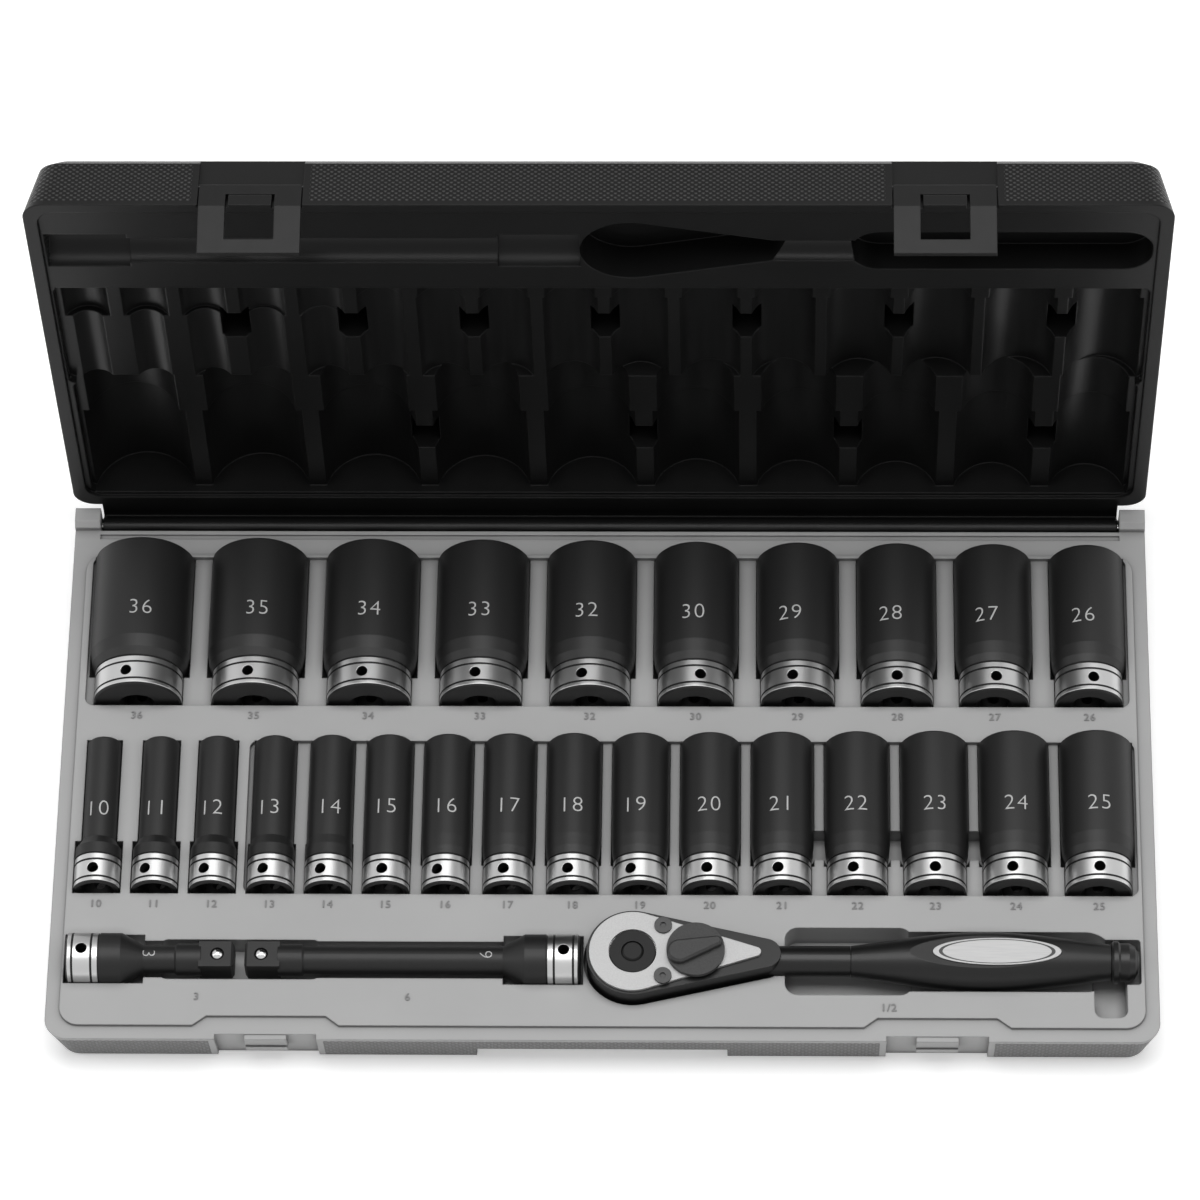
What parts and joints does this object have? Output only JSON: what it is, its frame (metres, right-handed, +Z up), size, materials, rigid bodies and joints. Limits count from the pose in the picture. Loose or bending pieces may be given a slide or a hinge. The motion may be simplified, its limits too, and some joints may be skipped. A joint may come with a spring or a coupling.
{
  "type": "socket wrench set in case",
  "caption": "Hinged moulded tool case, standing open, with deep impact sockets in rows, square drive extension bars, a reversible ratchet wrench and flap latches.",
  "frame": {"origin": "centre of the case base's underside", "axes": "+X along the case, left to right as seen from its front; +Y from the front to the hinge; +Z up"},
  "size_m": [0.505, 0.305, 0.2935],
  "materials": {
    "case_grey": "moulded, satin with textured sides",
    "case_black": "moulded, semi-gloss with textured sides",
    "latch_black": "moulded, semi-gloss",
    "plain_steel": "drawn wire",
    "black_steel": "black phosphate with turned bright bands",
    "forged_steel": "dark satin",
    "satin_plate": "satin, fine grain",
    "grip_black": "matt moulded grip",
    "badge_silver": "satin, bare",
    "dark_plastic": "finely textured"
  },
  "bodies": {
    "base": {"case_base": "case_grey", "hinge_pin": "plain_steel"},
    "lid": {"case_lid": "case_black", "latch_pins": "plain_steel"},
    "latch_left": {"latch_left": "latch_black"},
    "latch_right": {"latch_right": "latch_black"},
    "extension_3in": {"extension_3in": "black_steel", "extension_3in_spring": "plain_steel"},
    "extension_3in_ball": {"extension_3in_ball": "plain_steel"},
    "extension_6in": {"extension_6in": "black_steel", "extension_6in_spring": "plain_steel"},
    "extension_6in_ball": {"extension_6in_ball": "plain_steel"},
    "ratchet": {"ratchet_body": "forged_steel", "handle_grip": "grip_black", "grip_badge": "badge_silver", "handle_end_cap": "forged_steel", "head_cover_plate": "satin_plate", "cover_screws": "plain_steel", "retaining_ring": "plain_steel", "pawl_pin": "plain_steel"},
    "drive": {"drive_gear": "forged_steel", "button_spring": "plain_steel"},
    "quick_release_button": {"quick_release_button": "forged_steel"},
    "drive_ball": {"drive_ball": "plain_steel"},
    "pawl": {"pawl": "forged_steel"},
    "reversing_lever": {"reversing_lever": "dark_plastic"},
    "socket_36mm": {"socket_36mm": "black_steel"},
    "socket_35mm": {"socket_35mm": "black_steel"},
    "socket_34mm": {"socket_34mm": "black_steel"},
    "socket_33mm": {"socket_33mm": "black_steel"},
    "socket_32mm": {"socket_32mm": "black_steel"},
    "socket_30mm": {"socket_30mm": "black_steel"},
    "socket_29mm": {"socket_29mm": "black_steel"},
    "socket_28mm": {"socket_28mm": "black_steel"},
    "socket_27mm": {"socket_27mm": "black_steel"},
    "socket_26mm": {"socket_26mm": "black_steel"},
    "socket_10mm": {"socket_10mm": "black_steel"},
    "socket_11mm": {"socket_11mm": "black_steel"},
    "socket_12mm": {"socket_12mm": "black_steel"},
    "socket_13mm": {"socket_13mm": "black_steel"},
    "socket_14mm": {"socket_14mm": "black_steel"},
    "socket_15mm": {"socket_15mm": "black_steel"},
    "socket_16mm": {"socket_16mm": "black_steel"},
    "socket_17mm": {"socket_17mm": "black_steel"},
    "socket_18mm": {"socket_18mm": "black_steel"},
    "socket_19mm": {"socket_19mm": "black_steel"},
    "socket_20mm": {"socket_20mm": "black_steel"},
    "socket_21mm": {"socket_21mm": "black_steel"},
    "socket_22mm": {"socket_22mm": "black_steel"},
    "socket_23mm": {"socket_23mm": "black_steel"},
    "socket_24mm": {"socket_24mm": "black_steel"},
    "socket_25mm": {"socket_25mm": "black_steel"}
  },
  "joints": [
    {"name": "lid_hinge", "type": "hinge", "parent": "base", "child": "lid", "pos_m": [0, 0.132, 0.0225], "axis": [-1, 0, 0], "range_deg": [-90, 0]},
    {"name": "latch_left_flip", "type": "hinge", "parent": "lid", "child": "latch_left", "pos_m": [-0.152, 0.149, 0.28992], "axis": [-1, 0, 0], "range_deg": [0, 90]},
    {"name": "latch_right_flip", "type": "hinge", "parent": "lid", "child": "latch_right", "pos_m": [0.152, 0.149, 0.28992], "axis": [-1, 0, 0], "range_deg": [0, 90]},
    {"name": "extension_3in_lift", "type": "slide", "parent": "base", "child": "extension_3in", "axis": [0, 0, 1], "range_m": [0, 0.09]},
    {"name": "extension_3in_ball_press", "type": "slide", "parent": "extension_3in", "child": "extension_3in_ball", "axis": [0, 0, -1], "range_m": [0, 0.0012], "stiffness_N_per_m": 800, "deforming": ["extension_3in_spring"]},
    {"name": "extension_6in_lift", "type": "slide", "parent": "base", "child": "extension_6in", "axis": [0, 0, 1], "range_m": [0, 0.09]},
    {"name": "extension_6in_ball_press", "type": "slide", "parent": "extension_6in", "child": "extension_6in_ball", "axis": [0, 0, -1], "range_m": [0, 0.0012], "stiffness_N_per_m": 800, "deforming": ["extension_6in_spring"]},
    {"name": "ratchet_lift", "type": "slide", "parent": "base", "child": "ratchet", "axis": [0, 0, 1], "range_m": [0, 0.09]},
    {"name": "drive_spin", "type": "hinge", "parent": "ratchet", "child": "drive", "pos_m": [0.014, -0.0994, 0.0195], "axis": [0, 0, 1], "continuous": true},
    {"name": "button_press", "type": "slide", "parent": "drive", "child": "quick_release_button", "axis": [0, 0, -1], "range_m": [0, 0.0025], "stiffness_N_per_m": 600, "deforming": ["button_spring"]},
    {"name": "drive_ball_draw", "type": "slide", "parent": "drive", "child": "drive_ball", "axis": [0, 1, 0], "range_m": [0, 0.0012]},
    {"name": "lever_turn", "type": "hinge", "parent": "ratchet", "child": "reversing_lever", "pos_m": [0.0426, -0.0994, 0.0391], "axis": [0, 0, 1], "range_deg": [-20, 20]},
    {"name": "pawl_rock", "type": "hinge", "parent": "ratchet", "child": "pawl", "pos_m": [0.0346, -0.0994, 0.0255], "axis": [0, 0, 1], "range_deg": [-3.2, 3.2]},
    {"name": "socket_36mm_lift", "type": "slide", "parent": "base", "child": "socket_36mm", "axis": [0, 0, 1], "range_m": [0, 0.09]},
    {"name": "socket_35mm_lift", "type": "slide", "parent": "base", "child": "socket_35mm", "axis": [0, 0, 1], "range_m": [0, 0.09]},
    {"name": "socket_34mm_lift", "type": "slide", "parent": "base", "child": "socket_34mm", "axis": [0, 0, 1], "range_m": [0, 0.09]},
    {"name": "socket_33mm_lift", "type": "slide", "parent": "base", "child": "socket_33mm", "axis": [0, 0, 1], "range_m": [0, 0.09]},
    {"name": "socket_32mm_lift", "type": "slide", "parent": "base", "child": "socket_32mm", "axis": [0, 0, 1], "range_m": [0, 0.09]},
    {"name": "socket_30mm_lift", "type": "slide", "parent": "base", "child": "socket_30mm", "axis": [0, 0, 1], "range_m": [0, 0.09]},
    {"name": "socket_29mm_lift", "type": "slide", "parent": "base", "child": "socket_29mm", "axis": [0, 0, 1], "range_m": [0, 0.09]},
    {"name": "socket_28mm_lift", "type": "slide", "parent": "base", "child": "socket_28mm", "axis": [0, 0, 1], "range_m": [0, 0.09]},
    {"name": "socket_27mm_lift", "type": "slide", "parent": "base", "child": "socket_27mm", "axis": [0, 0, 1], "range_m": [0, 0.09]},
    {"name": "socket_26mm_lift", "type": "slide", "parent": "base", "child": "socket_26mm", "axis": [0, 0, 1], "range_m": [0, 0.09]},
    {"name": "socket_10mm_lift", "type": "slide", "parent": "base", "child": "socket_10mm", "axis": [0, 0, 1], "range_m": [0, 0.09]},
    {"name": "socket_11mm_lift", "type": "slide", "parent": "base", "child": "socket_11mm", "axis": [0, 0, 1], "range_m": [0, 0.09]},
    {"name": "socket_12mm_lift", "type": "slide", "parent": "base", "child": "socket_12mm", "axis": [0, 0, 1], "range_m": [0, 0.09]},
    {"name": "socket_13mm_lift", "type": "slide", "parent": "base", "child": "socket_13mm", "axis": [0, 0, 1], "range_m": [0, 0.09]},
    {"name": "socket_14mm_lift", "type": "slide", "parent": "base", "child": "socket_14mm", "axis": [0, 0, 1], "range_m": [0, 0.09]},
    {"name": "socket_15mm_lift", "type": "slide", "parent": "base", "child": "socket_15mm", "axis": [0, 0, 1], "range_m": [0, 0.09]},
    {"name": "socket_16mm_lift", "type": "slide", "parent": "base", "child": "socket_16mm", "axis": [0, 0, 1], "range_m": [0, 0.09]},
    {"name": "socket_17mm_lift", "type": "slide", "parent": "base", "child": "socket_17mm", "axis": [0, 0, 1], "range_m": [0, 0.09]},
    {"name": "socket_18mm_lift", "type": "slide", "parent": "base", "child": "socket_18mm", "axis": [0, 0, 1], "range_m": [0, 0.09]},
    {"name": "socket_19mm_lift", "type": "slide", "parent": "base", "child": "socket_19mm", "axis": [0, 0, 1], "range_m": [0, 0.09]},
    {"name": "socket_20mm_lift", "type": "slide", "parent": "base", "child": "socket_20mm", "axis": [0, 0, 1], "range_m": [0, 0.09]},
    {"name": "socket_21mm_lift", "type": "slide", "parent": "base", "child": "socket_21mm", "axis": [0, 0, 1], "range_m": [0, 0.09]},
    {"name": "socket_22mm_lift", "type": "slide", "parent": "base", "child": "socket_22mm", "axis": [0, 0, 1], "range_m": [0, 0.09]},
    {"name": "socket_23mm_lift", "type": "slide", "parent": "base", "child": "socket_23mm", "axis": [0, 0, 1], "range_m": [0, 0.09]},
    {"name": "socket_24mm_lift", "type": "slide", "parent": "base", "child": "socket_24mm", "axis": [0, 0, 1], "range_m": [0, 0.09]},
    {"name": "socket_25mm_lift", "type": "slide", "parent": "base", "child": "socket_25mm", "axis": [0, 0, 1], "range_m": [0, 0.09]}
  ],
  "couplings": [
    {"joint": "drive_ball_draw", "follows": "button_press", "ratio": 0.44},
    {"joint": "pawl_rock", "follows": "lever_turn", "ratio": -0.15}
  ]
}
